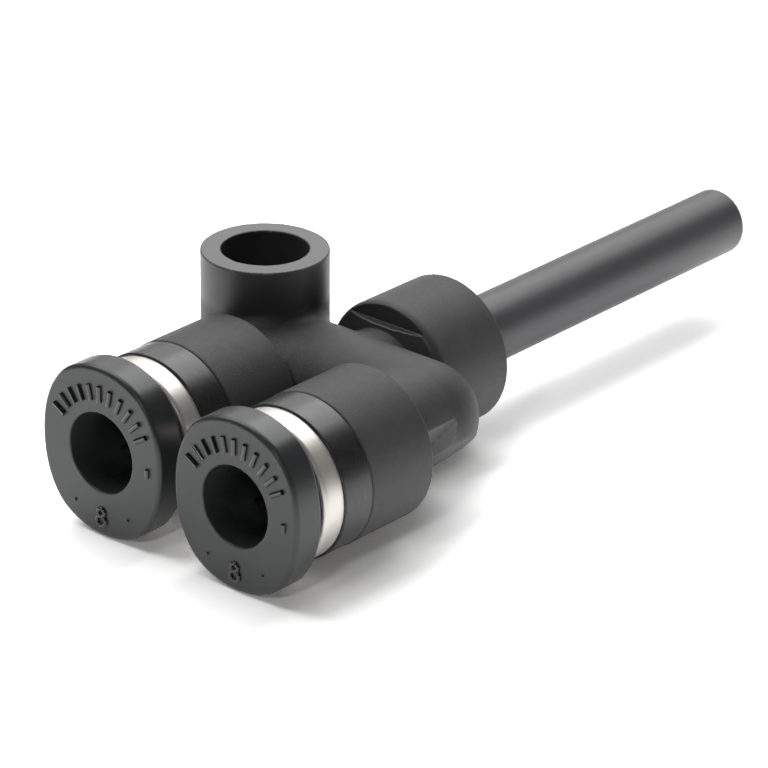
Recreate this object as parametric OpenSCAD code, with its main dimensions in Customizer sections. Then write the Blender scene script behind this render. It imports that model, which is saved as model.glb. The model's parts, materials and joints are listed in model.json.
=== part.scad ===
// Plug-in Y push-to-connect fitting: two tube ports side by side, joined behind by a cross duct,
// a plug rod that leaves a collar midway between them, and an upright mounting eye beside one port.
//
// Frame: the origin is on the rod axis, in the collar's rear face where the rod leaves it.
// +Y runs along the rod towards its free end, +X from port A to port B, +Z is up the mounting eye.

/* [Tube and rod] */
// Outside diameter of the plug rod, one standard tube size
rod_d = 8; // [8:0.05:8.1]
// Clear bore for the tube, through the whole port
tube_bore_d = 8.2; // [8.15:0.05:8.25]
// Free length of the rod beyond the collar
rod_out = 49.6; // [30:0.2:60]
// Flow bore of the rod
rod_bore_d = 5.4; // [4:0.1:5.6]

/* [Ports] */
// Distance between the two port axes
port_pitch = 19.4; // [19:0.1:20.6]
// Outside diameter of the matte port bodies
port_d = 17.6; // [17.4:0.1:18]
// Port mouth to cross duct axis
mouth_to_duct = 29.6; // [29.2:0.1:32]
// Press-in travel of each release ring
release_travel = 0.9; // [0.5:0.05:0.95]
// Long diameter of the release ring's oval face
ring_d = 19.8; // [19.2:0.1:20.1]
// Width of the release ring across its shallow side faces
ring_w = 17.6; // [17.2:0.1:18.2]

/* [Cross duct and collar] */
// Outside diameter of the cross duct
duct_d = 12.8; // [12.4:0.1:13.3]
// Cross duct axis to the collar's rear face
duct_to_collar_end = 16.3; // [16:0.1:18]
// Collar diameter at its front rim
collar_front_d = 17.3; // [17:0.1:18.2]
// Collar diameter at its rear rim
collar_rear_d = 17.2; // [16.6:0.1:17.4]
// Collar length
collar_len = 10.6; // [10.2:0.1:11.2]
// Neck between the cross duct and the collar
neck_d = 11.8; // [11.4:0.1:12.4]

/* [Mounting eye] */
// Outside diameter of the eye
eye_d = 14.4; // [14.2:0.1:15]
// Through hole of the eye
eye_hole_d = 9.8; // [9:0.1:10]
// Height of the eye's top above the port axes
eye_top = 12.4; // [11:0.1:16]
// Distance from the rod axis out to the eye axis
eye_offset = 14.7; // [14.6:0.1:16.5]
// Distance of the eye axis behind the cross duct axis
eye_behind_duct = 1.9; // [1.6:0.1:3]

/* [Hidden] */
$fn = 96;
eps = 0.02;
slip = 0.02;             // radial gap of joints that are welded or pressed shut
running = 0.05;          // radial gap of parts that slide or turn on each other

duct_y = -duct_to_collar_end;
mouth_y = duct_y - mouth_to_duct;
port_r = port_d / 2;
duct_r = duct_d / 2;
rod_r = rod_d / 2;
tube_r = tube_bore_d / 2;
neck_r = neck_d / 2;

// Depths inside a port, counted from the face of the release ring
flange_end = 3.8;
guide_face = flange_end + release_travel + 0.1;
sleeve_face = 7.7;
seam = 11.9;
bead_face = 8.95;
claw_seat = 11;
claw_t = 0.35;
guide_end = 11.5;
seal_face = 13.65;
seal_seat = 17;
tube_stop = 18.2;
sleeve_end = 18.9;
port_floor = 19;
plenum_end = 20.4;
port_end = 21.6;

// Radii inside a port
mouth_round = 0.5;
barrel_r = 5.9;
bead_r = 6.35;
chamber_r = 6.9;
guide_r = 8.45;
guide_spigot_r = 7.6;
sleeve_r = 8.72;
sleeve_spigot_r = 7.9;
side_arc_r = 18;         // radius of the release ring's shallow side faces
plenum_r = 5.6;
passage_r = 2.1;
passage_x = 7.3;         // the flow passages run inboard of the port axes, clear of the eye
claw_slits = 8;
barrel_slots = 4;

// Depths inside the collar, as Y positions
collar_face_y = -collar_len;
journal_r = 4.65;
journal_start = duct_y + 3.5;
chamber_start = duct_y + 7.6;
stem_flange_r = 5.6;
stem_flange_t = 1.6;
ring_seat_r = 6;
ring_recess = 0.3;
groove_r = 3.4;
groove_y = duct_y + 5.8;
oring_section_r = 0.65;
ledge_z = 6.4;           // the collar's front cone is cut back to a flat face above this height

// Recess in port B's outer flank: its rear tip, from the elbow's centre, and the lean of its two faces
recess_tip_x = 6;
recess_tip_back = 1.3;
recess_tip_z = 2.1;
recess_wall_lean = 18;
recess_facet_rise = 13;
recess_facet_turn = 23;

eye_r = eye_d / 2;
eye_x = -eye_offset;
eye_y = duct_y + eye_behind_duct;
eye_bottom = -port_r;

// ---- Shared shapes ----

// Puts children, drawn along +Z from z = 0, on a port's axis with z counted inwards from its mouth.
// side is -1 for port A and 1 for port B.
module at_port(side) {
  translate([side * port_pitch / 2, mouth_y, 0])
    rotate([-90, 0, 0])
      children();
}

// Turns children, drawn along +Z, so that they run along +Y of the part.
module along_y() {
  rotate([-90, 0, 0])
    children();
}

// Solid of revolution from a profile given as [radius, z] points.
module turned(points) {
  rotate_extrude()
    polygon(points);
}

// The sliver that rounds off a profile's corner at [x, z]; sx and sz point out of the material.
module corner_waste(x, z, r, sx, sz) {
  translate([x - sx * r, z - sz * r])
    difference() {
      translate([sx > 0 ? 0 : -r - eps, sz > 0 ? 0 : -r - eps])
        square(r + eps);
      circle(r);
    }
}

// Disc from z0 to z1 with a rounded front edge and a smaller rounded back edge.
module rounded_disc(r, z0, z1, front, back) {
  rotate_extrude()
    difference() {
      translate([0, z0])
        square([r, z1 - z0]);
      corner_waste(r, z0, front, 1, -1);
      corner_waste(r, z1, back, 1, 1);
    }
}

// Round hole from z0 to z1.
module hole(r, z0, z1) {
  translate([0, 0, z0])
    cylinder(r = r, h = z1 - z0);
}

// ---- Parts of a port ----

module release_ring(side) {
  color([0.27, 0.28, 0.29])
    at_port(side)
      difference() {
        union() {
          release_flange();
          release_barrel();
        }
        release_bore();
        for (i = [0 : barrel_slots - 1])
          rotate([0, 0, 45 + i * 360 / barrel_slots])
            translate([0, -0.5, bead_face - 2.4])
              cube([chamber_r, 1, 10]);
      }
}

// Oval flange: a disc narrowed by two larger discs, so that every edge stays rounded.
module release_flange() {
  front_round = 0.9;
  back_round = 0.35;
  side_shift = side_arc_r - ring_w / 2;
  intersection() {
    rounded_disc(ring_d / 2, 0, flange_end, front_round, back_round);
    translate([-side_shift, 0, 0])
      rounded_disc(side_arc_r, 0, flange_end, front_round, back_round);
    translate([side_shift, 0, 0])
      rounded_disc(side_arc_r, 0, flange_end, front_round, back_round);
  }
}

// Barrel with a snap bead that holds the ring behind the guide ring's lip, and a tapered nose.
module release_barrel() {
  nose_r = 4.7;
  nose_end = bead_face + 1.65;
  turned([[0, flange_end - 1], [barrel_r, flange_end - 1], [barrel_r, bead_face], [bead_r, bead_face],
          [bead_r, bead_face + 0.35], [nose_r, nose_end], [0, nose_end]]);
}

module release_bore() {
  hole(tube_r, -eps, bead_face + 3);
  rotate_extrude()
    difference() {
      translate([0, -eps])
        square([tube_r + mouth_round, mouth_round + eps]);
      translate([tube_r + mouth_round, mouth_round])
        circle(mouth_round);
    }
}

module guide_ring(side) {
  lip_round = 0.8;
  color([0.78, 0.76, 0.73])
    at_port(side)
      difference() {
        union() {
          rounded_disc(guide_r, guide_face, sleeve_face, lip_round, 0.1);
          translate([0, 0, sleeve_face - 1])
            cylinder(r = guide_spigot_r, h = guide_end - sleeve_face + 1);
        }
        hole(barrel_r + running, guide_face - eps, guide_end + eps);
        hole(bead_r + 0.1, bead_face - 0.05, guide_end + eps);
        hole(chamber_r, claw_seat, guide_end + eps);
      }
}

module port_sleeve(side) {
  color([0.05, 0.05, 0.055])
    at_port(side)
      difference() {
        union() {
          rounded_disc(sleeve_r, sleeve_face, seam, 0.25, 0.1);
          translate([0, 0, seam - 1])
            cylinder(r = sleeve_spigot_r, h = sleeve_end - seam + 1);
        }
        hole(guide_spigot_r + slip, sleeve_face - eps, guide_end + slip);
        hole(chamber_r, guide_end, seal_seat);
        hole(tube_r, seal_seat - eps, tube_stop);
        hole(tube_r - 1.1, tube_stop - eps, sleeve_end + eps);
      }
}

// Spring-steel ring whose slit inner edge leans inwards as teeth.
module lock_claw(side) {
  rim_r = chamber_r - slip;
  tooth_root_r = 5.7;
  tooth_tip_r = tube_r + 0.02;
  tooth_len = 1.3;
  color([0.7, 0.7, 0.68])
    at_port(side)
      difference() {
        turned([[rim_r, claw_seat], [rim_r, claw_seat + claw_t], [tooth_root_r + 0.08, claw_seat + claw_t],
                [tooth_tip_r + 0.2, claw_seat + tooth_len + 0.2], [tooth_tip_r, claw_seat + tooth_len],
                [tooth_root_r - 0.1, claw_seat]]);
        for (i = [0 : claw_slits - 1])
          rotate([0, 0, (i + 0.5) * 360 / claw_slits])
            translate([0, -0.35, claw_seat - 1])
              cube([tooth_root_r + 0.25, 0.7, 4]);
      }
}

// Hard ring between the claw and the seal, hollowed to clear the claw's teeth.
module backing_ring(side) {
  outer_r = chamber_r - running;
  face = claw_seat + claw_t + 0.02;
  back = seal_face - 0.05;
  color([0.3, 0.3, 0.31])
    at_port(side)
      turned([[outer_r, face], [outer_r, back], [tube_r + 0.05, back], [tube_r + 0.05, back - 0.6],
              [tube_r + 0.65, back - 0.9], [outer_r - 0.65, face]]);
}

// Rubber seal with two lips on the tube and a hollow between them.
module seal_sleeve(side) {
  outer_r = chamber_r - slip;
  lip_r = tube_r + 0.02;
  hollow_r = 5;
  back = seal_seat - 0.1;
  lip_w = 0.45;
  color([0.12, 0.12, 0.12])
    at_port(side)
      turned([[outer_r, seal_face], [outer_r, back], [lip_r + 0.3, back], [lip_r, back - lip_w],
              [lip_r, back - 2 * lip_w], [hollow_r, back - 3 * lip_w], [hollow_r, seal_face + 3 * lip_w],
              [lip_r, seal_face + 2 * lip_w], [lip_r, seal_face + lip_w], [lip_r + 0.3, seal_face]]);
}

// ---- Manifold ----

module manifold_body() {
  color([0.25, 0.25, 0.26])
    difference() {
      union() {
        port_body(-1);
        port_body(1);
        cross_duct();
        collar();
        mounting_eye();
      }
      port_cavity(-1);
      port_cavity(1);
      cross_passage();
      collar_cavity();
      eye_hole();
    }
}

module port_body(side) {
  at_port(side)
    rounded_disc(port_r, seam, port_end, 0.15, 0.3);
}

// Cross duct with a ball-shaped end behind each port and a short stub forward to the port's back.
// A sloping flat takes the underside off each outer end.
module cross_duct() {
  flat_depth = 5;
  stub_r = duct_r - 0.2;
  difference() {
    union() {
      translate([0, duct_y, 0])
        rotate([0, 90, 0])
          capsule(duct_r, port_pitch);
      for (side = [-1, 1])
        translate([side * port_pitch / 2, duct_y, 0])
          rotate([90, 0, 0])
            cylinder(r = stub_r, h = mouth_to_duct - port_end + 1);
    }
    for (side = [-1, 1])
      translate([side * port_pitch / 2, duct_y, 0])
        rotate([0, side * 135, 0])
          translate([-port_d, -port_d / 2, flat_depth])
            cube([2 * port_d, port_d, port_d]);
    flank_recess();
  }
}

// Shallow recess in port B's outer flank. A steep wall and a facet meet at its rear tip, and the space
// outside both is taken away.
module flank_recess() {
  tip = [port_pitch / 2 + recess_tip_x, duct_y - recess_tip_back, recess_tip_z];
  translate(tip)
    intersection() {
      rotate([0, recess_wall_lean, 0])
        beyond(port_d);
      rotate([0, -recess_facet_rise, -recess_facet_turn])
        beyond(port_d);
    }
}

// Block that fills the space on the +X side of the YZ plane, out to a reach in every direction.
module beyond(reach) {
  translate([0, -reach, -reach])
    cube([reach, 2 * reach, 2 * reach]);
}

// Round bar along Z, centred, with half-ball ends centred span apart.
module capsule(r, span) {
  rotate_extrude()
    intersection() {
      union() {
        translate([0, -span / 2])
          square([r, span]);
        for (end = [-1, 1])
          translate([0, end * span / 2])
            circle(r);
      }
      translate([0, -span / 2 - r])
        square([r, span + 2 * r]);
    }
}

// Collar with a slight draft towards its rear rim. Its front is a cone that runs down to the neck, cut
// back above a ledge to a flat face.
module collar() {
  rim_chamfer = 0.3;
  cone_slope = 0.5;
  cone_y = collar_face_y - cone_slope * (collar_front_d / 2 - neck_r);
  difference() {
    along_y()
      turned([[0, duct_y], [neck_r, duct_y], [neck_r, cone_y], [collar_front_d / 2, collar_face_y],
              [collar_rear_d / 2, -rim_chamfer], [collar_rear_d / 2 - rim_chamfer, 0], [0, 0]]);
    translate([-collar_front_d, cone_y - eps, ledge_z])
      cube([2 * collar_front_d, collar_face_y - cone_y + eps, collar_front_d]);
  }
}

module mounting_eye() {
  edge = 0.25;
  translate([eye_x, eye_y, 0])
    turned([[0, eye_bottom], [eye_r - edge, eye_bottom], [eye_r, eye_bottom + edge],
            [eye_r, eye_top - edge], [eye_r - edge, eye_top], [0, eye_top]]);
}

module port_cavity(side) {
  at_port(side) {
    hole(sleeve_spigot_r + slip, seam - eps, port_floor);
    hole(plenum_r, port_floor - eps, plenum_end);
  }
  overrun = 1.5;
  translate([side * passage_x, duct_y + overrun, 0])
    rotate([90, 0, 0])
      cylinder(r = passage_r - 0.1, h = mouth_to_duct - plenum_end + overrun + eps);
}

// Passage through the cross duct; the passages from the ports run a little past its axis.
module cross_passage() {
  translate([-passage_x, duct_y, 0])
    rotate([0, 90, 0])
      cylinder(r = passage_r, h = 2 * passage_x);
}

// Journal bore for the rod's head, then the wider chamber that takes its flange and retaining ring.
module collar_cavity() {
  along_y() {
    hole(rod_bore_d / 2, duct_y, journal_start);
    hole(journal_r + running, journal_start - 0.1, chamber_start + eps);
    hole(ring_seat_r + slip, chamber_start, eps);
  }
}

module eye_hole() {
  translate([eye_x, eye_y, eye_bottom - 1])
    cylinder(r = eye_hole_d / 2, h = eye_top - eye_bottom + 2);
}

// ---- Plug rod and what holds it ----

// Hollow rod. Its head turns in the collar: a journal with a seal groove, then a flange.
module plug_rod() {
  tip_round = 0.6;
  flange_face = chamber_start + 0.05;
  flange_back = flange_face + stem_flange_t;
  undercut = 0.25;
  shoulder = -0.1;
  color([0.2, 0.2, 0.23])
    along_y()
      difference() {
        union() {
          translate([0, 0, journal_start])
            cylinder(r = journal_r, h = flange_back - journal_start);
          translate([0, 0, flange_face])
            cylinder(r = stem_flange_r, h = stem_flange_t);
          translate([0, 0, flange_back - eps])
            cylinder(r = rod_r - undercut, h = shoulder - flange_back + 2 * eps);
          rounded_disc(rod_r, shoulder, rod_out, eps, tip_round);
        }
        rod_seal_groove();
        hole(rod_bore_d / 2, journal_start - eps, rod_out + eps);
      }
}

module rod_seal_groove() {
  groove_w = 2 * oring_section_r + 0.4;
  translate([0, 0, groove_y - groove_w / 2])
    difference() {
      cylinder(r = journal_r + 1, h = groove_w);
      translate([0, 0, -eps])
        cylinder(r = groove_r, h = groove_w + 2 * eps);
    }
}

module rod_o_ring() {
  color([0.08, 0.08, 0.08])
    along_y()
      translate([0, 0, groove_y])
        rotate_extrude()
          translate([groove_r + oring_section_r, 0])
            circle(oring_section_r, $fn = 32);
}

// Pressed into the collar behind the rod's flange; the rod turns inside it.
module rod_retaining_ring() {
  ring_face = chamber_start + stem_flange_t + 0.1;
  color([0.16, 0.16, 0.17])
    along_y()
      difference() {
        rounded_disc(ring_seat_r, ring_face, -ring_recess, 0.2, 0.25);
        hole(rod_r + running, ring_face - eps, eps);
      }
}

manifold_body();
plug_rod();
rod_o_ring();
rod_retaining_ring();
release_ring(-1);  // release_ring_a
guide_ring(-1);  // guide_ring_a
port_sleeve(-1);  // port_sleeve_a
lock_claw(-1);  // lock_claw_a
backing_ring(-1);  // backing_ring_a
seal_sleeve(-1);  // seal_sleeve_a
release_ring(1);  // release_ring_b
guide_ring(1);  // guide_ring_b
port_sleeve(1);  // port_sleeve_b
lock_claw(1);  // lock_claw_b
backing_ring(1);  // backing_ring_b
seal_sleeve(1);  // seal_sleeve_b
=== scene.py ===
"""Looks of the plug-in Y push-to-connect fitting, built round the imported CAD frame.

Lengths in this script are millimetres of the part's frame, and become metres when a mesh is made.
Moulded pieces are skins of distance fields, so that fillets and rounded edges flow into each other.
Turned pieces are lathed from profiles with rounded corners.
"""

import json
import math

import bpy
import numpy as np
from mathutils import Matrix, Vector


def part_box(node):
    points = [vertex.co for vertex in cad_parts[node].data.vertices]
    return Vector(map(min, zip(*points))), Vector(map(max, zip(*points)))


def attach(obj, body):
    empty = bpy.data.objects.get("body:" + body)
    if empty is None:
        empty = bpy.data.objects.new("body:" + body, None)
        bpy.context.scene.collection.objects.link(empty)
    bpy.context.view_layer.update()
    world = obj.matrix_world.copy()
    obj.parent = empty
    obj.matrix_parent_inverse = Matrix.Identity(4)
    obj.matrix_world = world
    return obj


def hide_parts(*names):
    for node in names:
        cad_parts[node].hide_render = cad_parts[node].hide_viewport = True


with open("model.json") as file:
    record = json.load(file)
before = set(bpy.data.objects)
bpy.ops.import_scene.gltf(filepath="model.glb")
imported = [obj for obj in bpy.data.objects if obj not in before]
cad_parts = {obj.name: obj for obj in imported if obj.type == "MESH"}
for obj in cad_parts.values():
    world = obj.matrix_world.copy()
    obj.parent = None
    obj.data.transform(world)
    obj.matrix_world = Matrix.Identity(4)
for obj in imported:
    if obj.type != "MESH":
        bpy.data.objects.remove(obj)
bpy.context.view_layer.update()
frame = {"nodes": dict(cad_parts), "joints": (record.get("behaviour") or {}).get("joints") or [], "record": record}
MM = 0.001
SIDES = {"a": -1, "b": 1}


# ---- Measures taken from the frame, in millimetres ----

def box_mm(node):
    low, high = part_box(node)
    return np.array(low) / MM, np.array(high) / MM


def round_mount(name):
    found = next(m for m in frame["record"]["mounts"] if m["name"] == name)
    return np.array(found["pos_m"]) / MM, found["dims"]["r_mm"]


def travel(joint):
    found = next(j for j in frame["joints"] if j["name"] == joint)
    return found["range_m"][1] / MM


PORT_X = round_mount("tube_port_b")[0][0]
BORE_R = round_mount("tube_port_b")[1]
EYE_AXIS, EYE_HOLE_R = round_mount("eye_hole")
EYE_X, EYE_Y = EYE_AXIS[0], EYE_AXIS[1]
RING_LOW, RING_HIGH = box_mm("release_ring_b")
BODY_LOW, BODY_HIGH = box_mm("manifold_body")
GUIDE_LOW, GUIDE_HIGH = box_mm("guide_ring_b")
SLEEVE_LOW, SLEEVE_HIGH = box_mm("port_sleeve_b")
STOP_R = box_mm("rod_retaining_ring")[1][2]

MOUTH_Y = RING_LOW[1]
SEAM_Y = BODY_LOW[1]
EYE_R = EYE_X - BODY_LOW[0]
EYE_TOP, EYE_BOTTOM = BODY_HIGH[2], BODY_LOW[2]

# Port bodies and cross duct
BODY_R = -BODY_LOW[2]
BODY_END = SEAM_Y + 9.7
DUCT_R = 6.4
DUCT_Y = SEAM_Y + 17.7
STUB_R = DUCT_R - 0.05
INNER_FILLET, INNER_FILLET_RUN = 1.6, 5.0
FLAT_DEPTH = 5.0
RECESS_TIP = np.array([PORT_X + 6.0, DUCT_Y - 1.3, 2.1])
RECESS_WALL_LEAN, RECESS_FACET_RISE, RECESS_FACET_TURN = 18, 13, 23
BODY_FILLET, EYE_FILLET = 0.35, 1.3

# Neck and collar
NECK_R = 5.9
COLLAR_FACE = DUCT_Y + 5.7
COLLAR_FRONT_R, COLLAR_REAR_R = 8.65, 8.6
COLLAR_FRONT_BACK = 1.4
CONE_STEEPNESS = 2.0
LEDGE_Z = 6.4

# Hollows inside the moulding
CHAMBER_R, CHAMBER_END = 7.92, SEAM_Y + 7.1
PLENUM_R, PLENUM_START, PLENUM_END = 5.6, SEAM_Y + 7.0, SEAM_Y + 8.5
PASSAGE_R, PASSAGE_START, PASSAGE_X = 2.0, SEAM_Y + 8.0, 7.3
CROSS_PASSAGE_R = 2.1
JOURNAL_R, JOURNAL_START = 4.7, DUCT_Y + 3.4
STEM_FLOW_R = 2.7
STOP_SEAT_START = DUCT_Y + 7.6

# Release ring, from its face at MOUTH_Y
RING_R = RING_HIGH[2]
RING_HALF_WIDTH = RING_HIGH[0] - PORT_X
RING_SIDE_ARC_R, RING_CORNER = 18.0, 1.5
FLANGE_END = GUIDE_LOW[1] - travel("release_slide_b") - 0.1
FRONT_EDGE, BACK_EDGE = 0.6, 0.3
BARREL_R, BARREL_END = 5.9, MOUTH_Y + 9.2
BEAD_R, BEAD_START, BEAD_END = 6.35, MOUTH_Y + 8.95, MOUTH_Y + 9.4
NOSE_R, NOSE_START, NOSE_SLOPE = 5.5, MOUTH_Y + 9.1, -0.9
SLOT_HALF_WIDTH, SLOT_START = 0.5, MOUTH_Y + 6.6
LEAD_IN, LEAD_IN_DEPTH = 0.5, 3.0

# Guide ring and port sleeve, inside the port
GUIDE_SPIGOT_R, SLEEVE_SPIGOT_R = 7.6, 7.9
CLAW_CHAMBER_R, CLAW_SEAT = 6.9, MOUTH_Y + 11
BEAD_SLOT_R, BEAD_STOP = 6.45, MOUTH_Y + 8.9
GUIDE_BORE_R = 5.95
SEAL_SEAT, TUBE_STOP = MOUTH_Y + 17, MOUTH_Y + 18.2
SLEEVE_FLOW_R = 3.0


def facing(lean, turn=0.0):
    """Unit vector that starts along +X, drops by lean and then turns towards -Y, both in degrees."""
    a, b = math.radians(lean), math.radians(turn)
    return np.array([math.cos(a) * math.cos(b), -math.cos(a) * math.sin(b), -math.sin(a)])


RECESS_WALL = facing(RECESS_WALL_LEAN)
RECESS_FACET = facing(-RECESS_FACET_RISE, RECESS_FACET_TURN)


# ---- Distance fields: points in, an (n, 3) array; distance to the surface out, negative inside ----

def length2(a, b):
    return np.sqrt(a * a + b * b)


def box_like(across, along, edge):
    """Joins two one-way distances into a solid whose edge is rounded by edge."""
    qa, qb = across + edge, along + edge
    return length2(np.maximum(qa, 0), np.maximum(qb, 0)) + np.minimum(np.maximum(qa, qb), 0) - edge


def rod_field(p, axis, centre, radius, start, end, edge, slope=0.0):
    """Cylinder along one axis (0, 1 or 2) from start to end; centre is given on the other two axes."""
    u, v = [i for i in range(3) if i != axis]
    middle = (start + end) / 2
    across = length2(p[:, u] - centre[0], p[:, v] - centre[1]) - radius - slope * (p[:, axis] - middle)
    return box_like(across, np.abs(p[:, axis] - middle) - (end - start) / 2, edge)


def merge(a, b, fillet):
    """Union with a round fillet in the corner."""
    u, v = np.maximum(fillet - a, 0), np.maximum(fillet - b, 0)
    return np.maximum(fillet, np.minimum(a, b)) - length2(u, v)


def cut(a, b, edge):
    """Takes b out of a and rounds the edge that this leaves."""
    return -merge(-a, b, edge)


def collar_field(p):
    """Collar whose front is a cone down to the neck, cut back above the ledge to a flat face."""
    x, y, z = p.T
    from_axis = length2(x, z)
    slope = (COLLAR_REAR_R - COLLAR_FRONT_R) / -COLLAR_FACE
    middle_r = (COLLAR_FRONT_R + COLLAR_REAR_R) / 2
    outer = rod_field(p, 1, (0, 0), middle_r, COLLAR_FACE - COLLAR_FRONT_BACK, 0, 0.25, slope)
    cone = from_axis - COLLAR_FRONT_R - CONE_STEEPNESS * (y - COLLAR_FACE)
    cone = cone / math.hypot(1, CONE_STEEPNESS)
    solid = -merge(-outer, -cone, 0.7)
    above_ledge = -merge(-(y - COLLAR_FACE), -(LEDGE_Z - z), 0.1)
    return cut(solid, above_ledge, 0.06)


def duct_field(p):
    """Cross duct with ball ends and forward stubs, less the flats underneath and the flank recess."""
    x, y, z = p.T
    outboard = np.abs(x) - PORT_X
    duct = np.sqrt(np.maximum(outboard, 0) ** 2 + (y - DUCT_Y) ** 2 + z * z) - DUCT_R
    stubs = None
    for side in SIDES.values():
        stub = rod_field(p, 1, (side * PORT_X, 0), STUB_R, BODY_END - 1, DUCT_Y, 0.05)
        stubs = stub if stubs is None else np.minimum(stubs, stub)
    inner_corner = 0.05 + INNER_FILLET * np.clip(-outboard / INNER_FILLET_RUN, 0, 1)
    solid = merge(duct, stubs, inner_corner)
    flats = FLAT_DEPTH - (outboard - z) / math.sqrt(2)
    solid = cut(solid, flats, 0.25)
    wall = (p - RECESS_TIP) @ RECESS_WALL
    facet = (p - RECESS_TIP) @ RECESS_FACET
    return cut(solid, np.maximum(-wall, -facet), 0.06)


def manifold_field(p):
    """The whole moulding: port bodies, cross duct, neck, collar and eye, and the hollows inside them."""
    bodies = None
    for side in SIDES.values():
        body = rod_field(p, 1, (side * PORT_X, 0), BODY_R, SEAM_Y, BODY_END, 0.2)
        bodies = body if bodies is None else np.minimum(bodies, body)
    eye = rod_field(p, 2, (EYE_X, EYE_Y), EYE_R, EYE_BOTTOM, EYE_TOP, 0.15)
    solid = merge(duct_field(p), rod_field(p, 1, (0, 0), NECK_R, DUCT_Y, COLLAR_FACE, 0.05), 0.3)
    solid = merge(solid, eye, EYE_FILLET)
    solid = merge(solid, bodies, BODY_FILLET)
    solid = merge(solid, collar_field(p), 0.1)
    for side in SIDES.values():
        port, inboard = (side * PORT_X, 0), (side * PASSAGE_X, 0)
        solid = cut(solid, rod_field(p, 1, port, CHAMBER_R, SEAM_Y - 5, CHAMBER_END, 0.05), 0.12)
        solid = cut(solid, rod_field(p, 1, port, PLENUM_R, PLENUM_START, PLENUM_END, 0.05), 0.05)
        solid = cut(solid, rod_field(p, 1, inboard, PASSAGE_R, PASSAGE_START, DUCT_Y + 1.5, 0.05), 0.05)
    solid = cut(solid, rod_field(p, 0, (DUCT_Y, 0), CROSS_PASSAGE_R, -PASSAGE_X, PASSAGE_X, 0.05), 0.05)
    solid = cut(solid, rod_field(p, 1, (0, 0), JOURNAL_R, JOURNAL_START, 1, 0.05), 0.05)
    solid = cut(solid, rod_field(p, 1, (0, 0), STEM_FLOW_R, DUCT_Y, 1, 0.05), 0.05)
    solid = cut(solid, rod_field(p, 1, (0, 0), STOP_R + 0.02, STOP_SEAT_START, 1, 0.05), 0.15)
    eye_hole = rod_field(p, 2, (EYE_X, EYE_Y), EYE_HOLE_R, EYE_BOTTOM - 2, EYE_TOP + 2, 0.1)
    return cut(solid, eye_hole, 0.15)


def ring_field(p):
    """Release ring on the axis of port B: an oval flange, a slit barrel with a snap bead, and the bore."""
    x, z = p[:, 0] - PORT_X, p[:, 2]
    shift = RING_SIDE_ARC_R - RING_HALF_WIDTH
    side = length2(np.abs(x) + shift, z) - RING_SIDE_ARC_R
    oval = -merge(-(length2(x, z) - RING_R), -side, RING_CORNER)
    middle = (MOUTH_Y + FLANGE_END) / 2
    edge = np.where(p[:, 1] < middle, FRONT_EDGE, BACK_EDGE)
    flange = box_like(oval, np.abs(p[:, 1] - middle) - (FLANGE_END - MOUTH_Y) / 2, edge)
    port = (PORT_X, 0)
    barrel = rod_field(p, 1, port, BARREL_R, FLANGE_END - 1, BARREL_END, 0.05)
    bead = rod_field(p, 1, port, BEAD_R, BEAD_START, BEAD_END, 0.1)
    nose = rod_field(p, 1, port, NOSE_R, NOSE_START, RING_HIGH[1], 0.1, NOSE_SLOPE)
    ring = np.minimum(np.minimum(merge(flange, barrel, 0.2), bead), nose)
    for turn in (45, 135):
        c, s = math.cos(math.radians(turn)), math.sin(math.radians(turn))
        slot = box_like(np.abs(-s * x + c * z) - SLOT_HALF_WIDTH, SLOT_START - p[:, 1], 0.02)
        ring = cut(ring, slot, 0.05)
    bore = rod_field(p, 1, port, BORE_R, MOUTH_Y - 3, RING_HIGH[1] + 1, 0.1)
    taper = LEAD_IN / LEAD_IN_DEPTH
    start, end = MOUTH_Y - 2, MOUTH_Y + LEAD_IN_DEPTH
    middle_r = BORE_R + taper * (end - start) / 2
    lead_in = rod_field(p, 1, port, middle_r, start, end, 0.02, -taper)
    return cut(cut(ring, bore, 0.1), lead_in, 0.15)


# ---- Meshes ----

def piece(name, vertices, faces, normals):
    """Mesh object from millimetre vertices, with its exact surface normals."""
    mesh = bpy.data.meshes.new(name)
    mesh.from_pydata((np.asarray(vertices) * MM).tolist(), [], faces.tolist())
    mesh.polygons.foreach_set("use_smooth", [True] * len(mesh.polygons))
    mesh.normals_split_custom_set_from_vertices(normals.tolist())
    made = bpy.data.objects.new(name, mesh)
    bpy.context.scene.collection.objects.link(made)
    return made


def slopes(field, p, h=0.01):
    """Outward unit normals of the field at points p."""
    g = np.stack([field(p + h * e) - field(p - h * e) for e in np.eye(3)], -1)
    return g / np.maximum(np.linalg.norm(g, axis=1), 1e-9)[:, None]


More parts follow.
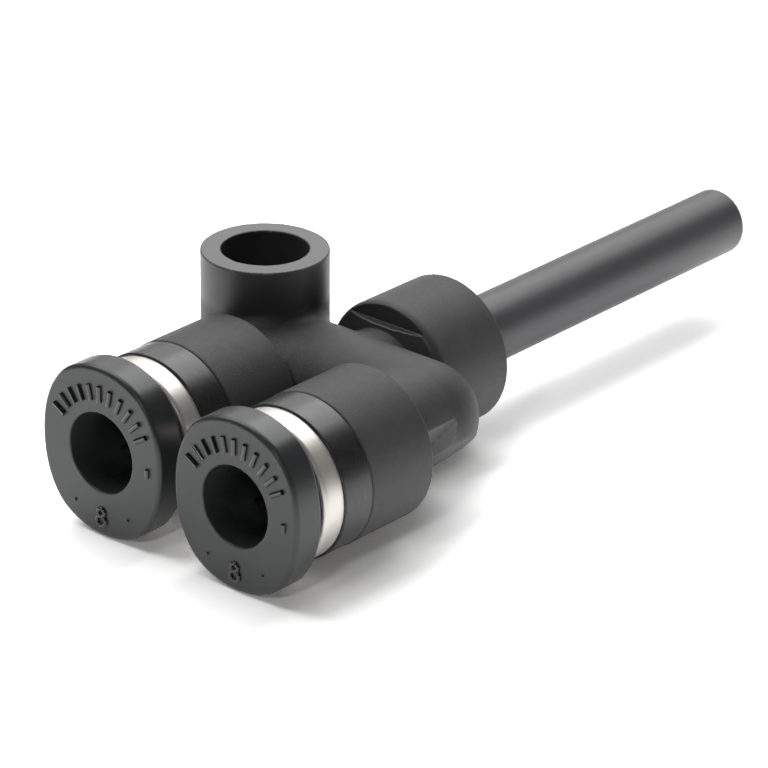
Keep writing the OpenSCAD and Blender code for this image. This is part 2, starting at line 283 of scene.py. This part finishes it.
def skin(field, low, high, step):
    """Vertices, quads and normals of the field's zero surface, by surface nets put back on the surface."""
    axes = [np.arange(low[i] - 2 * step, high[i] + 3 * step, step) for i in range(3)]
    shape = np.array([len(a) for a in axes])
    plane = np.stack([g.ravel() for g in np.meshgrid(axes[1], axes[2], indexing="ij")], -1)
    value = np.empty(shape)
    for i, x in enumerate(axes[0]):
        points = np.column_stack([np.full(len(plane), x), plane])
        value[i] = field(points).reshape(shape[1:])
    inside = value < 0
    sums, counts, loops = [], [], []
    for axis in range(3):
        first = [slice(None)] * 3
        second = [slice(None)] * 3
        first[axis], second[axis] = slice(0, -1), slice(1, None)
        first, second = tuple(first), tuple(second)
        index = np.argwhere(inside[first] != inside[second])
        a = value[first][tuple(index.T)]
        b = value[second][tuple(index.T)]
        crossing = index.astype(float)
        crossing[:, axis] += a / (a - b)
        u, v = np.eye(3, dtype=int)[(axis + 1) % 3], np.eye(3, dtype=int)[(axis + 2) % 3]
        cells = np.stack([index, index - u, index - u - v, index - v], 1)
        ids = np.ravel_multi_index(tuple(np.moveaxis(cells, -1, 0)), shape)
        loops.append(np.where((a < 0)[:, None], ids, ids[:, ::-1]))
        sums.append(np.repeat(crossing, 4, axis=0))
        counts.append(ids.ravel())
    ids, cell = np.unique(np.concatenate(counts), return_inverse=True)
    total = np.bincount(cell)[:, None]
    crossings = np.concatenate(sums)
    centre = np.stack([np.bincount(cell, crossings[:, i]) for i in range(3)], -1) / total
    p = centre * step + np.array([a[0] for a in axes])
    faces = np.searchsorted(ids, np.concatenate(loops))
    edges = np.concatenate([faces[:, [i, (i + 1) % 4]] for i in range(4)])
    degree = np.bincount(edges[:, 0], minlength=len(p))[:, None]
    for _ in range(2):
        mean = np.stack([np.bincount(edges[:, 0], p[edges[:, 1], i], len(p)) for i in range(3)], -1) / degree
        n = slopes(field, p)
        drift = (mean - p) * 0.5
        p = p + drift - n * np.sum(drift * n, axis=1)[:, None]
        p = p - slopes(field, p) * np.clip(field(p), -step, step)[:, None]
    p = p - slopes(field, p) * np.clip(field(p), -step, step)[:, None]
    return p, faces, slopes(field, p)


def rounded_profile(corners, arc_steps=6):
    """Points and outward normals of a closed profile, from (radius, y, rounding) corners."""
    points, normals = [], []
    count = len(corners)
    area = sum(corners[i][0] * corners[(i + 1) % count][1] - corners[(i + 1) % count][0] * corners[i][1]
               for i in range(count))
    turn = 1 if area > 0 else -1
    for i, (r, y, rounding) in enumerate(corners):
        here = np.array([r, y])
        back = np.array(corners[i - 1][:2]) - here
        ahead = np.array(corners[(i + 1) % count][:2]) - here
        back, ahead = back / np.linalg.norm(back), ahead / np.linalg.norm(ahead)
        normal_in = turn * np.array([-back[1], back[0]])
        normal_out = turn * np.array([ahead[1], -ahead[0]])
        half = math.acos(np.clip(back @ ahead, -1, 1)) / 2
        setback = rounding / math.tan(half)
        start = here + back * setback
        convex = turn * (back[1] * ahead[0] - back[0] * ahead[1]) > 0
        centre = start - normal_in * rounding * (1 if convex else -1)
        for k in range(arc_steps + 1):
            t = k / arc_steps
            n = normal_in * (1 - t) + normal_out * t
            n = n / np.linalg.norm(n)
            points.append(centre + n * rounding * (1 if convex else -1))
            normals.append(n)
    return np.array(points), np.array(normals)


def lathe(name, corners, x=0.0, segments=256):
    """Piece turned about the line along Y through x, from a closed profile's corners."""
    profile, slope = rounded_profile(corners)
    rows, angles = len(profile), np.arange(segments) * 2 * math.pi / segments
    c, s = np.cos(angles)[:, None], np.sin(angles)[:, None]
    vertices = np.stack([x + c * profile[:, 0], np.broadcast_to(profile[:, 1], (segments, rows)),
                         s * profile[:, 0]], -1).reshape(-1, 3)
    normals = np.stack([c * slope[:, 0], np.broadcast_to(slope[:, 1], (segments, rows)),
                        s * slope[:, 0]], -1).reshape(-1, 3)
    i, j = np.meshgrid(np.arange(segments), np.arange(rows), indexing="ij")
    i2, j2 = (i + 1) % segments, (j + 1) % rows
    faces = np.stack([i * rows + j, i * rows + j2, i2 * rows + j2, i2 * rows + j], -1).reshape(-1, 4)
    a, b, d = vertices[faces[:, 0]], vertices[faces[:, 1]], vertices[faces[:, 3]]
    outward = np.sum(np.cross(b - a, d - a) * normals[faces[:, 0]], axis=1)
    if np.sum(outward) < 0:
        faces = faces[:, ::-1]
    return piece(name, vertices, faces, normals)


# ---- Materials: all coordinates are the part's frame, in millimetres ----

# Painted reflection: a lighter colour painted onto the eye's top face and the recess's slanted face, where the
# bright room would reflect.
PAINTED_REFLECTION_COLOUR = (0.125, 0.125, 0.126)
POLISH_ROUGHNESS = 0.45


def add(tree, kind, inputs=None, **settings):
    node = tree.nodes.new("ShaderNode" + kind)
    for key, value in settings.items():
        setattr(node, key, value)
    for key, value in (inputs or {}).items():
        if isinstance(value, bpy.types.NodeSocket):
            tree.links.new(value, node.inputs[key])
        else:
            node.inputs[key].default_value = value
    return node


def millimetres(tree, stretch=(1, 1, 1)):
    coordinates = add(tree, "TexCoord").outputs["Object"]
    scale = tuple(s / MM for s in stretch)
    return add(tree, "Mapping", {"Vector": coordinates, "Scale": scale}).outputs["Vector"]


def noise(tree, vector, scale, detail=2.0, roughness=0.5):
    inputs = {"Vector": vector, "Scale": scale, "Detail": detail, "Roughness": roughness}
    return add(tree, "TexNoise", inputs).outputs["Fac"]


def remap(tree, value, low, high, new_low, new_high):
    inputs = {"Value": value, "From Min": low, "From Max": high, "To Min": new_low, "To Max": new_high}
    return add(tree, "MapRange", inputs).outputs["Result"]


def mix(tree, factor, a, b):
    node = add(tree, "Mix", {"Factor": factor}, data_type="RGBA")
    for socket, colour in ((node.inputs[6], a), (node.inputs[7], b)):
        if isinstance(colour, bpy.types.NodeSocket):
            tree.links.new(colour, socket)
        else:
            socket.default_value = (*colour, 1)
    return node.outputs[2]


def calculate(tree, operation, a, b):
    node = add(tree, "Math", {0: a, 1: b}, operation=operation)
    return node.outputs[0]


def surface(name, colour, shade, roughness, grain, stretch=(1, 1, 1), metallic=0.0, polish=False,
            specular=0.5):
    """Principled material: mottled colour, uneven roughness and a fine grain or scratches in relief.

    grain is the relief's strength, its cells per millimetre and its depth in millimetres. With polish, the mesh's
    polish attribute smooths out some of its faces, and a second mesh attribute mixes a lighter colour into others
    as a painted reflection.
    """
    grain_strength, grain_scale, grain_depth = grain
    made = bpy.data.materials.new(name)
    made.use_nodes = True
    tree = made.node_tree
    shader = tree.nodes["Principled BSDF"]
    even = millimetres(tree)
    mottle = remap(tree, noise(tree, even, 0.45, 3.0), 0.3, 0.7, 0.0, 1.0)
    relief = noise(tree, millimetres(tree, stretch), grain_scale, 3.0, 0.6)
    fine = remap(tree, relief, 0.3, 0.7, 0.0, 1.0)
    base = mix(tree, calculate(tree, "MULTIPLY", mottle, 0.6), colour, shade)
    base = mix(tree, calculate(tree, "MULTIPLY", fine, 0.35), base, shade)
    rough = remap(tree, relief, 0.3, 0.7, roughness[0], roughness[1])
    strength = grain_strength
    if polish:
        mask = add(tree, "Attribute", attribute_name="polish").outputs["Fac"]
        smooth = calculate(tree, "SUBTRACT", 1.0, mask)
        strength = calculate(tree, "MULTIPLY", smooth, grain_strength)
        keep = calculate(tree, "MULTIPLY", rough, smooth)
        rough = calculate(tree, "ADD", keep, calculate(tree, "MULTIPLY", mask, POLISH_ROUGHNESS))
        # Painted reflection: the attribute mixes the lighter painted colour into the base colour.
        painted_reflection = add(tree, "Attribute", attribute_name="painted_reflection").outputs["Fac"]
        base = mix(tree, painted_reflection, base, PAINTED_REFLECTION_COLOUR)
    bump = add(tree, "Bump", {"Height": relief, "Strength": strength, "Distance": grain_depth * MM})
    tree.links.new(base, shader.inputs["Base Color"])
    tree.links.new(rough, shader.inputs["Roughness"])
    tree.links.new(bump.outputs["Normal"], shader.inputs["Normal"])
    shader.inputs["Metallic"].default_value = metallic
    shader.inputs["Specular IOR Level"].default_value = specular
    return made


MATERIALS = {
    "matte_resin": surface("matte_resin", (0.034, 0.034, 0.036), (0.050, 0.050, 0.052), (0.5, 0.68),
                           grain=(0.8, 6.0, 0.06), polish=True),
    "ring_resin": surface("ring_resin", (0.021, 0.023, 0.024), (0.026, 0.028, 0.029), (0.30, 0.38),
                          grain=(0.15, 4.0, 0.02)),
    "gloss_resin": surface("gloss_resin", (0.009, 0.009, 0.010), (0.015, 0.015, 0.016), (0.26, 0.42),
                           grain=(0.4, 3.0, 0.014), stretch=(0.3, 4.0, 0.3), specular=0.6),
    "mark_resin": surface("mark_resin", (0.006, 0.006, 0.007), (0.009, 0.009, 0.010), (0.10, 0.18),
                          grain=(0.1, 4.0, 0.01), specular=0.8),
    "rod_resin": surface("rod_resin", (0.054, 0.053, 0.058), (0.062, 0.061, 0.066), (0.42, 0.50),
                         grain=(0.12, 3.0, 0.012), stretch=(1.6, 0.12, 1.6), specular=0.55),
    "nickel_plate": surface("nickel_plate", (0.68, 0.65, 0.61), (0.60, 0.57, 0.53), (0.32, 0.46),
                            grain=(0.10, 3.0, 0.01), stretch=(0.2, 4.0, 0.2), metallic=0.78),
    "spring_steel": surface("spring_steel", (0.55, 0.55, 0.54), (0.42, 0.42, 0.42), (0.25, 0.4),
                            grain=(0.1, 4.0, 0.01), metallic=1.0),
    "seal_rubber": surface("seal_rubber", (0.012, 0.012, 0.012), (0.018, 0.018, 0.018), (0.55, 0.7),
                           grain=(0.3, 6.0, 0.03)),
}


def finish_of(node):
    return next(p["material_slot"] for p in frame["record"]["subparts"] if p["node"] == node)


def dress(obj, slot):
    obj.data.materials.clear()
    obj.data.materials.append(MATERIALS[slot])
    return obj


# ---- Pieces ----

def smooth_mask(p):
    """1 on the polished faces (eye, collar front and flank recess), 0 on the spark-eroded surfaces."""
    x, y, z = p.T
    out_of_eye = length2(x - EYE_X, y - EYE_Y) - EYE_R
    eye = np.clip(1 - (out_of_eye - 0.02) / 0.25, 0, 1) * np.clip((z - DUCT_R) / 1.0, 0, 1)
    from_axis = length2(x, z)
    front = np.clip(1 - (y - COLLAR_FACE) / 0.12, 0, 1) * np.clip((y - COLLAR_FACE + 1.5) / 0.1, 0, 1)
    front = front * np.clip((COLLAR_FRONT_R + 0.05 - from_axis) / 0.4 + np.clip(z - LEDGE_Z, 0, 1) * 2, 0, 1)
    off_duct = length2(y - DUCT_Y, z) - DUCT_R
    front = front * (from_axis > NECK_R + 0.1) * (from_axis < COLLAR_FRONT_R + 0.1) * (off_duct > 0.1)
    wall = (p - RECESS_TIP) @ RECESS_WALL
    facet = (p - RECESS_TIP) @ RECESS_FACET
    recess = (np.minimum(wall, facet) > -0.05) & (x > PORT_X) & (y > BODY_END)
    return np.maximum(np.maximum(eye, front), recess)


def painted_reflection_mask(p):
    """1 on the eye's top face and most of that on the recess's slanted face, where a lighter colour is painted on
    as a painted reflection of the bright room.
    """
    on_facet = (np.abs((p - RECESS_TIP) @ RECESS_FACET) < 0.03) & (p[:, 0] > PORT_X)
    on_facet &= ((p - RECESS_TIP) @ RECESS_WALL > 0.05) & (p[:, 1] > BODY_END)
    on_eye = np.abs(p[:, 2] - EYE_TOP) < 0.02
    return np.maximum(on_eye, 0.8 * on_facet)


def build_manifold():
    step = 0.2
    p, faces, normals = skin(manifold_field, BODY_LOW, BODY_HIGH, step)
    made = dress(piece("manifold_skin", p, faces, normals), "matte_resin")
    # The polish attribute smooths faces; the other attribute marks where the painted reflection goes.
    for name, mask in (("polish", smooth_mask(p)), ("painted_reflection", painted_reflection_mask(p))):
        layer = made.data.attributes.new(name, "FLOAT", "POINT")
        layer.data.foreach_set("value", mask.astype(np.float32))
    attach(made, "fitting")
    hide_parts("manifold_body")


def build_release_rings():
    p, faces, normals = skin(ring_field, RING_LOW, RING_HIGH, 0.14)
    for letter, side in SIDES.items():
        shifted = p + np.array([(side - 1) * PORT_X, 0, 0])
        made = piece("release_ring_skin_" + letter, shifted, faces, normals)
        dress(made, "ring_resin")
        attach(made, "release_" + letter)
        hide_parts("release_ring_" + letter)


def build_turned_parts():
    for letter, side in SIDES.items():
        x = side * PORT_X
        guide = lathe("guide_ring_turned_" + letter, [
            (GUIDE_BORE_R, GUIDE_LOW[1], 0.1),
            (GUIDE_HIGH[2], GUIDE_LOW[1], 0.7),
            (GUIDE_HIGH[2], SLEEVE_LOW[1], 0.08),
            (GUIDE_SPIGOT_R, SLEEVE_LOW[1], 0.03),
            (GUIDE_SPIGOT_R, GUIDE_HIGH[1], 0.05),
            (CLAW_CHAMBER_R, GUIDE_HIGH[1], 0.05),
            (CLAW_CHAMBER_R, CLAW_SEAT, 0.03),
            (BEAD_SLOT_R, CLAW_SEAT, 0.03),
            (BEAD_SLOT_R, BEAD_STOP, 0.03),
            (GUIDE_BORE_R, BEAD_STOP, 0.03),
        ], x)
        joint_r, joint_end = GUIDE_SPIGOT_R + 0.02, GUIDE_HIGH[1] + 0.02
        sleeve = lathe("port_sleeve_turned_" + letter, [
            (joint_r, SLEEVE_LOW[1], 0.05),
            (SLEEVE_HIGH[2], SLEEVE_LOW[1], 0.2),
            (SLEEVE_HIGH[2], SEAM_Y, 0.12),
            (SLEEVE_SPIGOT_R, SEAM_Y, 0.03),
            (SLEEVE_SPIGOT_R, SLEEVE_HIGH[1], 0.1),
            (SLEEVE_FLOW_R, SLEEVE_HIGH[1], 0.1),
            (SLEEVE_FLOW_R, TUBE_STOP, 0.05),
            (BORE_R, TUBE_STOP, 0.05),
            (BORE_R, SEAL_SEAT, 0.05),
            (CLAW_CHAMBER_R, SEAL_SEAT, 0.05),
            (CLAW_CHAMBER_R, joint_end, 0.03),
            (joint_r, joint_end, 0.03),
        ], x)
        for made, node in ((guide, "guide_ring_"), (sleeve, "port_sleeve_")):
            dress(made, finish_of(node + letter))
            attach(made, "fitting")
            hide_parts(node + letter)


def dress_cad_nodes():
    """The nodes that keep their CAD shape get the finish that the record gives them."""
    for name, node in frame["nodes"].items():
        dress(node, finish_of(name))
        node.data.polygons.foreach_set("use_smooth", [True] * len(node.data.polygons))
        node.data.set_sharp_from_angle(angle=math.radians(25))


def stroke(name, points, thickness, closed, body):
    """Raised line on a release ring: a round bar sunk nearly half its thickness into the face."""
    data = bpy.data.curves.new(name, "CURVE")
    data.dimensions = "3D"
    data.bevel_depth = thickness / 2 * MM
    data.bevel_resolution = 3
    data.use_fill_caps = True
    line = data.splines.new("POLY")
    line.points.add(len(points) - 1)
    for point, place in zip(line.points, points):
        point.co = (*[c * MM for c in place], 1)
    line.use_cyclic_u = closed
    made = bpy.data.objects.new(name, data)
    bpy.context.scene.collection.objects.link(made)
    data.materials.append(MATERIALS["mark_resin"])
    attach(made, body)


MARK_Y = MOUTH_Y - 0.06
RIBS, RIB_SPAN, RIB_THICKNESS = 11, 120, 0.6
RIB_INNER_R, RIB_OUTER_R = 6.0, 7.8
DIGIT_THICKNESS, DIGIT_WIDENING = 0.45, 1.15
DIGIT_LOOPS = (("upper", 7.0, 0.42), ("lower", 8.0, 0.55))
TICK_R, TICK_ANGLES, TICK_THICKNESS = 6.9, (88, 96), 0.55
DOT_ENDS, DOT_ANGLES, DOT_THICKNESS = (7.65, 7.9), (150, 210), 0.28


def on_face(x, radius, degrees):
    """Point on the ring's face at an angle clockwise from the top, seen from the front."""
    a = math.radians(degrees)
    return (x + radius * math.sin(a), MARK_Y, radius * math.cos(a))


def digit_loop(x, centre_r, loop_r, steps=20):
    """One of the two loops of the figure 8, below the bore."""
    turns = [k * 2 * math.pi / steps for k in range(steps)]
    wide = loop_r * DIGIT_WIDENING
    return [(x + wide * math.cos(t), MARK_Y, -centre_r + loop_r * math.sin(t)) for t in turns]


def build_marks():
    """Plain ribs along the top of each ring's face, the tube size below the bore, and small tool marks."""
    for letter, side in SIDES.items():
        x, body = side * PORT_X, "release_" + letter
        for i in range(RIBS):
            angle = RIB_SPAN * (i / (RIBS - 1) - 0.5)
            ends = [on_face(x, r, angle) for r in (RIB_INNER_R, RIB_OUTER_R)]
            stroke(f"rib_{letter}_{i:02d}", ends, RIB_THICKNESS, False, body)
        for name, centre_r, loop_r in DIGIT_LOOPS:
            loop = digit_loop(x, centre_r, loop_r)
            stroke(f"digit_{letter}_{name}", loop, DIGIT_THICKNESS, True, body)
        tick = [on_face(x, TICK_R, angle) for angle in TICK_ANGLES]
        stroke(f"tick_{letter}", tick, TICK_THICKNESS, False, body)
        for i, angle in enumerate(DOT_ANGLES):
            dot = [on_face(x, r, angle) for r in DOT_ENDS]
            stroke(f"dot_{letter}_{i}", dot, DOT_THICKNESS, False, body)


# ---- Studio ----

FLOOR_WHITE, FLOOR_GLOW = 1.75, 0.08


def look(azimuth, elevation, roll, distance, target, lens, aperture):
    """Camera on a long lens at the photograph's viewing angle."""
    az, el = math.radians(azimuth), math.radians(elevation)
    back = Vector((math.sin(az) * math.cos(el), -math.cos(az) * math.cos(el), math.sin(el)))
    data = bpy.data.cameras.new("camera")
    data.lens = lens
    data.sensor_width = 36
    data.clip_start, data.clip_end = 0.01, 10
    data.dof.use_dof = True
    data.dof.focus_distance = distance * MM
    data.dof.aperture_fstop = lens / aperture
    camera = bpy.data.objects.new("camera", data)
    camera.rotation_mode = "QUATERNION"
    camera.location = (Vector(target) + back * distance) * MM
    level = (-back).to_track_quat("-Z", "Y").to_matrix().to_4x4()
    camera.rotation_quaternion = (level @ Matrix.Rotation(math.radians(roll), 4, "Z")).to_quaternion()
    bpy.context.scene.collection.objects.link(camera)
    bpy.context.scene.camera = camera


def area_light(name, position, target, size, power):
    data = bpy.data.lights.new(name, "AREA")
    data.shape = "RECTANGLE"
    data.size, data.size_y = size
    data.energy = power
    lamp = bpy.data.objects.new(name, data)
    lamp.location = position
    aim = Vector(target) - Vector(position)
    lamp.rotation_mode = "QUATERNION"
    lamp.rotation_quaternion = aim.to_track_quat("-Z", "Y")
    bpy.context.scene.collection.objects.link(lamp)


def white_room(back, bright, dim):
    """World that is bright behind and above the object and dim on the camera's side."""
    world = bpy.data.worlds.new("studio")
    world.use_nodes = True
    tree = world.node_tree
    direction = add(tree, "TexCoord").outputs["Generated"]
    towards = add(tree, "VectorMath", {0: direction, 1: back}, operation="DOT_PRODUCT")
    strength = remap(tree, towards.outputs["Value"], -1.0, 0.7, bright, dim)
    tree.links.new(strength, tree.nodes["Background"].inputs["Strength"])
    bpy.context.scene.world = world


def floor():
    """White sweep under the part: very pale, with a faint glow that keeps the shadows soft and light."""
    size = 3
    z = RING_LOW[2] * MM
    mesh = bpy.data.meshes.new("floor")
    corners = [(-size, -size, z), (size, -size, z), (size, size, z), (-size, size, z)]
    mesh.from_pydata(corners, [], [(0, 1, 2, 3)])
    made = bpy.data.objects.new("floor", mesh)
    paper = bpy.data.materials.new("floor_paper")
    paper.use_nodes = True
    tree = paper.node_tree
    fibres = remap(tree, noise(tree, millimetres(tree), 0.6, 3.0), 0.3, 0.7, FLOOR_WHITE - 0.03, FLOOR_WHITE)
    white = add(tree, "CombineColor", {"Red": fibres, "Green": fibres, "Blue": fibres}).outputs["Color"]
    matte = add(tree, "BsdfDiffuse", {"Color": white}).outputs["BSDF"]
    glow = add(tree, "Emission", {"Color": (1.0, 0.98, 0.94, 1), "Strength": FLOOR_GLOW}).outputs["Emission"]
    both = add(tree, "AddShader", {0: matte, 1: glow}).outputs["Shader"]
    tree.links.new(both, tree.nodes["Material Output"].inputs["Surface"])
    mesh.materials.append(paper)
    bpy.context.scene.collection.objects.link(made)


dress_cad_nodes()
build_manifold()
build_release_rings()
build_turned_parts()
build_marks()
look(azimuth=40.859, elevation=24.667, roll=0.49, distance=505.6,
     target=(8.498, MOUTH_Y + 24.978, 5.169), lens=220.78, aperture=2.6)
white_room(back=(0.70, -0.68, 0.22), bright=3.3, dim=0.9)
# Lights: position and target in metres, size in metres, power in watts
area_light("back_softbox", (-0.08, 0.36, 0.44), (0, 0, 0), (0.4, 0.4), 1.9)
area_light("rear_softbox", (-0.34, 0.39, 0.27), (0, 0, 0), (0.32, 0.32), 0.5)
area_light("overhead_softbox", (-0.30, -0.02, 0.5), (0, 0, 0), (0.5, 0.5), 2.6)
area_light("front_softbox", (0.175, -0.396, 0.30), (0, MOUTH_Y * MM, 0), (0.06, 0.04), 0.25)
floor()
bpy.context.scene.view_settings.view_transform = "Standard"
